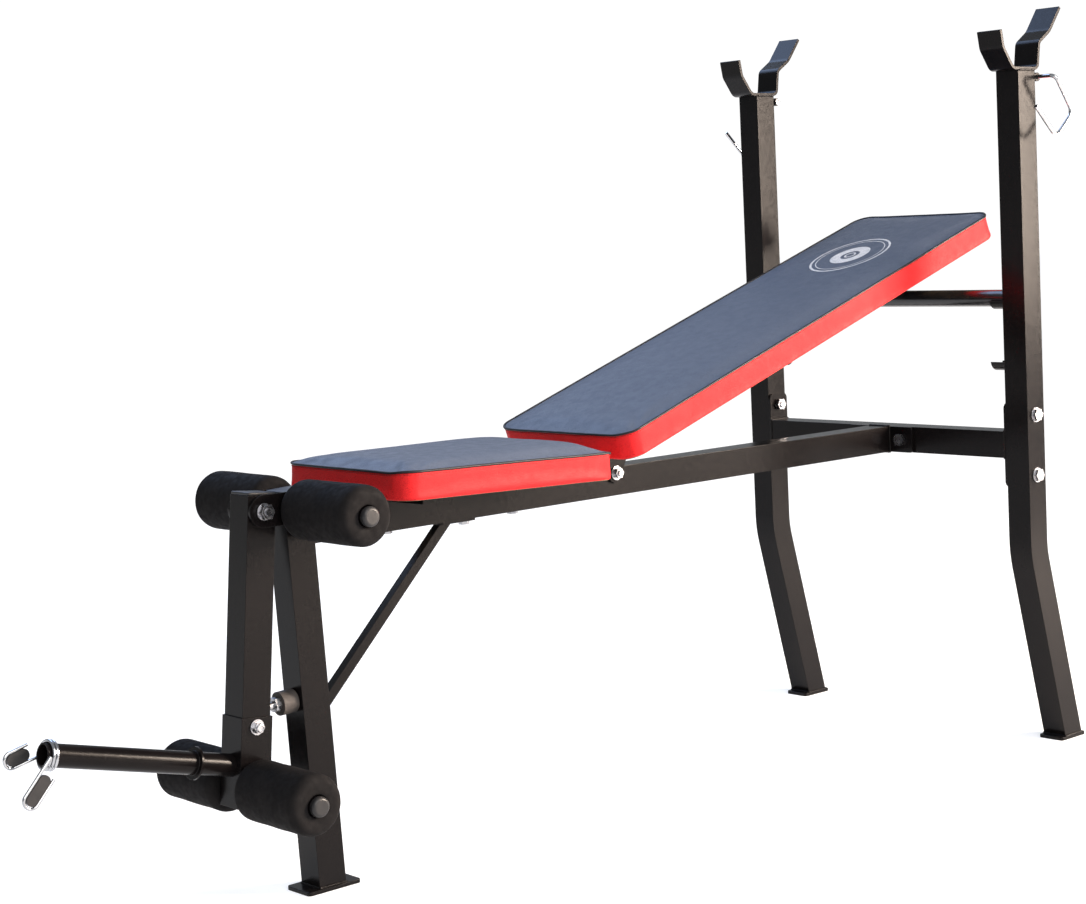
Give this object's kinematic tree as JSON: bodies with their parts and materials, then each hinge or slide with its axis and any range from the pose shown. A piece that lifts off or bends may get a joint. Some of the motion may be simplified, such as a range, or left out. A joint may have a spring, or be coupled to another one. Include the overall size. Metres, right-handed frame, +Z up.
{
  "type": "olympic bench press",
  "caption": "Barbell bench with rack uprights and bar cradles, adjustable inclined back pad, flat seat, and a swinging foam-roller leg developer with a weight horn",
  "frame": {"origin": "centre of the front foot plate's underside, on the floor in the centre plane", "axes": "+Y runs along the bench from the leg developer towards the rack, +Z is up, +X is across the bench"},
  "size_m": [0.634, 1.6556, 1.1044],
  "materials": {
    "frame_paint": "black powder coat, satin",
    "zinc": "bright zinc plating",
    "hook_chrome": "polished chrome wire",
    "bar_finish": "dark satin coating",
    "foam": "matt closed-cell foam",
    "upholstery": "red vinyl sides under a slate top panel",
    "board": "raw plywood",
    "cap": "black moulded plastic",
    "bumper": "black rubber",
    "bush": "natural nylon"
  },
  "bodies": {
    "frame": {"bar_cradle_left": "frame_paint", "bar_cradle_right": "frame_paint", "brace": "frame_paint", "crossbar": "frame_paint", "end_plates": "frame_paint", "flange_bolts": "zinc", "frame_bolts": "zinc", "frame_nuts": "zinc", "front_foot": "frame_paint", "front_leg": "frame_paint", "front_leg_cap": "cap", "hinge_bolt": "zinc", "hinge_nut": "zinc", "hinge_washers": "zinc", "hook_bushes": "frame_paint", "lower_bar_cups": "frame_paint", "main_tube": "frame_paint", "pivot_bolt": "zinc", "pivot_ears": "frame_paint", "pivot_washer": "zinc", "rear_feet": "frame_paint", "rear_flange": "frame_paint", "seat_board": "board", "seat_cushion": "upholstery", "seat_support_front": "frame_paint", "seat_support_rear": "frame_paint", "under_bolts": "zinc", "upper_bar_cups": "frame_paint", "upper_roller_plugs": "cap", "upper_roller_tube": "frame_paint", "upright_left": "frame_paint", "upright_right": "frame_paint"},
    "backrest": {"back_cushion": "upholstery", "back_board": "board", "back_rail_left": "frame_paint", "back_rail_right": "frame_paint", "back_screws": "zinc"},
    "support_bar": {"support_bar": "bar_finish"},
    "developer": {"developer_arm": "frame_paint", "developer_arm_cap": "cap", "developer_sleeve": "frame_paint", "developer_bolt": "zinc", "developer_nut": "zinc", "pivot_bush": "bush", "plate_horn": "frame_paint", "plate_stop": "frame_paint", "lower_roller_tube": "frame_paint", "lower_roller_plugs": "cap", "bumper_rubber": "bumper", "bumper_nut": "zinc", "bumper_stud": "zinc"},
    "upper_foam_left": {"upper_foam_left": "foam"},
    "upper_foam_right": {"upper_foam_right": "foam"},
    "lower_foam_left": {"lower_foam_left": "foam"},
    "lower_foam_right": {"lower_foam_right": "foam"},
    "hook_left": {"bar_lock_hook_left": "hook_chrome"},
    "hook_right": {"bar_lock_hook_right": "hook_chrome"},
    "collar": {"collar_wire": "hook_chrome", "collar_grips": "cap"}
  },
  "joints": [
    {"name": "backrest_hinge", "type": "hinge", "parent": "frame", "child": "backrest", "pos_m": [0, 0.508, 0.469], "axis": [1, 0, 0], "range_deg": [0, 13]},
    {"name": "support_bar_turn", "type": "hinge", "parent": "frame", "child": "support_bar", "pos_m": [0, 1.123, 0.6755], "axis": [1, 0, 0], "continuous": true},
    {"name": "developer_swing", "type": "hinge", "parent": "frame", "child": "developer", "pos_m": [0, -0.073, 0.486], "axis": [-1, 0, 0], "range_deg": [0, 95]},
    {"name": "upper_foam_left_spin", "type": "hinge", "parent": "frame", "child": "upper_foam_left", "pos_m": [0, -0.0198, 0.483], "axis": [1, 0, 0], "continuous": true},
    {"name": "upper_foam_right_spin", "type": "hinge", "parent": "frame", "child": "upper_foam_right", "pos_m": [0, -0.0198, 0.483], "axis": [1, 0, 0], "continuous": true},
    {"name": "lower_foam_left_spin", "type": "hinge", "parent": "developer", "child": "lower_foam_left", "pos_m": [0, -0.10687, 0.15071], "axis": [1, 0, 0], "continuous": true},
    {"name": "lower_foam_right_spin", "type": "hinge", "parent": "developer", "child": "lower_foam_right", "pos_m": [0, -0.10687, 0.15071], "axis": [1, 0, 0], "continuous": true},
    {"name": "hook_left_swing", "type": "hinge", "parent": "frame", "child": "hook_left", "pos_m": [0, 1.1495, 1], "axis": [-1, 0, 0], "range_deg": [-90, 130]},
    {"name": "hook_right_swing", "type": "hinge", "parent": "frame", "child": "hook_right", "pos_m": [0, 1.1495, 1], "axis": [-1, 0, 0], "range_deg": [-90, 130]},
    {"name": "collar_slide", "type": "slide", "parent": "developer", "child": "collar", "axis": [0, -0.9699, 0.2436], "range_m": [-0.15, 0.06]}
  ]
}
